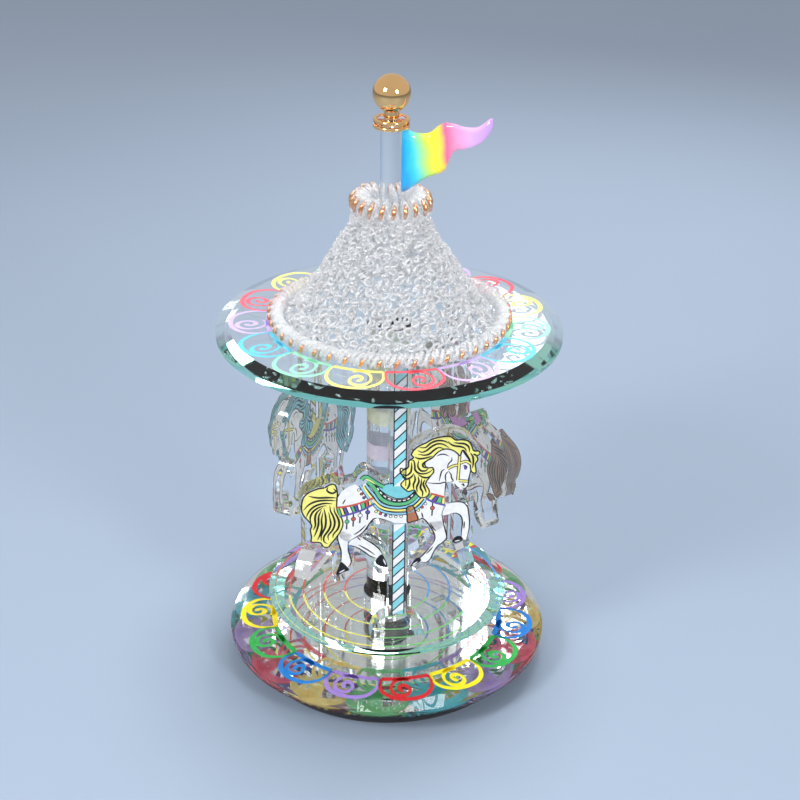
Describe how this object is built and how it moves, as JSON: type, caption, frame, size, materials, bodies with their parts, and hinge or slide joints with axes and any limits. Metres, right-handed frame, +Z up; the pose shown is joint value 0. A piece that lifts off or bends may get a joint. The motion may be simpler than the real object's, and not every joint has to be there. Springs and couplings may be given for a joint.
{
  "type": "carousel music box",
  "caption": "Wind-up musical carousel: mirrored glass base over a slim pinned-disc movement, turning platform with flat acrylic horses, glass canopy, lace roof, gilt ball and pennant.",
  "frame": {"origin": "centre of the base on the surface it stands on", "axes": "+Z up along the turning axis, -Y towards the front horse, +X along the pennant"},
  "size_m": [0.103, 0.103, 0.1896],
  "materials": {
    "felt": "black felt",
    "case_black": "black lacquer",
    "screw_steel": "bright plated steel",
    "brass": "polished brass",
    "steel": "ground steel",
    "blue_steel": "blued spring steel",
    "nylon": "white nylon",
    "gold": "22 carat gilding",
    "mirror_glass": "bevelled mirror glass with printed spirals",
    "disc_glass": "bevelled clear glass with green edge",
    "rod_glass": "clear glass rod",
    "horse_acrylic": "clear acrylic plate with printed art",
    "lace_glass": "spun glass lace",
    "coil_glass": "spun glass coil with gilded tips",
    "flag_glass": "rainbow glass pennant"
  },
  "bodies": {
    "base": {"foot_pad": "felt", "bottom_cover": "case_black", "cover_screws": "screw_steel", "base_case": "case_black", "bedplate": "brass", "bedplate_screws": "screw_steel", "shaft_bush": "brass", "thrust_washer": "nylon", "base_mirror": "mirror_glass", "comb_base": "brass", "comb": "steel", "comb_screws": "blue_steel", "clutch_spring": "steel"},
    "barrel": {"spring_barrel": "brass", "barrel_lid": "brass", "mainspring": "blue_steel"},
    "winder": {"barrel_arbor": "steel", "key_boss": "gold"},
    "ring": {"key_ring": "gold"},
    "carousel": {"center_shaft": "steel", "shaft_pinion": "brass", "center_wheel": "brass", "plateau_disc": "brass", "hub": "disc_glass", "platform_disc": "disc_glass", "column": "rod_glass", "horse_front": "horse_acrylic", "horse_right": "horse_acrylic", "horse_left": "horse_acrylic", "canopy_disc": "disc_glass", "roof_shell": "lace_glass", "roof_rim_coil": "coil_glass", "roof_collar_coil": "coil_glass", "mast": "rod_glass", "mast_collar": "gold", "finial_ball": "gold", "flag": "flag_glass"},
    "second_train": {"second_arbor": "steel", "second_wheel": "brass"},
    "governor": {"fly_arbor": "steel", "fly_vanes": "brass"}
  },
  "joints": [
    {"name": "carousel_spin", "type": "hinge", "parent": "base", "child": "carousel", "pos_m": [0, 0, 0.012], "axis": [0, 0, 1], "continuous": true},
    {"name": "barrel_spin", "type": "hinge", "parent": "base", "child": "barrel", "pos_m": [0.02025, 0, 0.005], "axis": [0, 0, 1], "continuous": true},
    {"name": "second_spin", "type": "hinge", "parent": "base", "child": "second_train", "pos_m": [-0.0108, 0.01287, 0.005], "axis": [0, 0, 1], "continuous": true},
    {"name": "governor_spin", "type": "hinge", "parent": "base", "child": "governor", "pos_m": [-0.01293, 0.02493, 0.005], "axis": [0, 0, 1], "continuous": true},
    {"name": "key_turn", "type": "hinge", "parent": "base", "child": "winder", "pos_m": [0.02025, 0, 0.005], "axis": [0, 0, 1], "range_deg": [0, 1350]},
    {"name": "key_ring_fold", "type": "hinge", "parent": "winder", "child": "ring", "pos_m": [0.02025, 0, 0.0012], "axis": [0, 1, 0], "range_deg": [0, 180]}
  ],
  "couplings": [
    {"joint": "barrel_spin", "follows": "carousel_spin", "ratio": -0.25},
    {"joint": "second_spin", "follows": "carousel_spin", "ratio": -6},
    {"joint": "governor_spin", "follows": "carousel_spin", "ratio": 36}
  ]
}
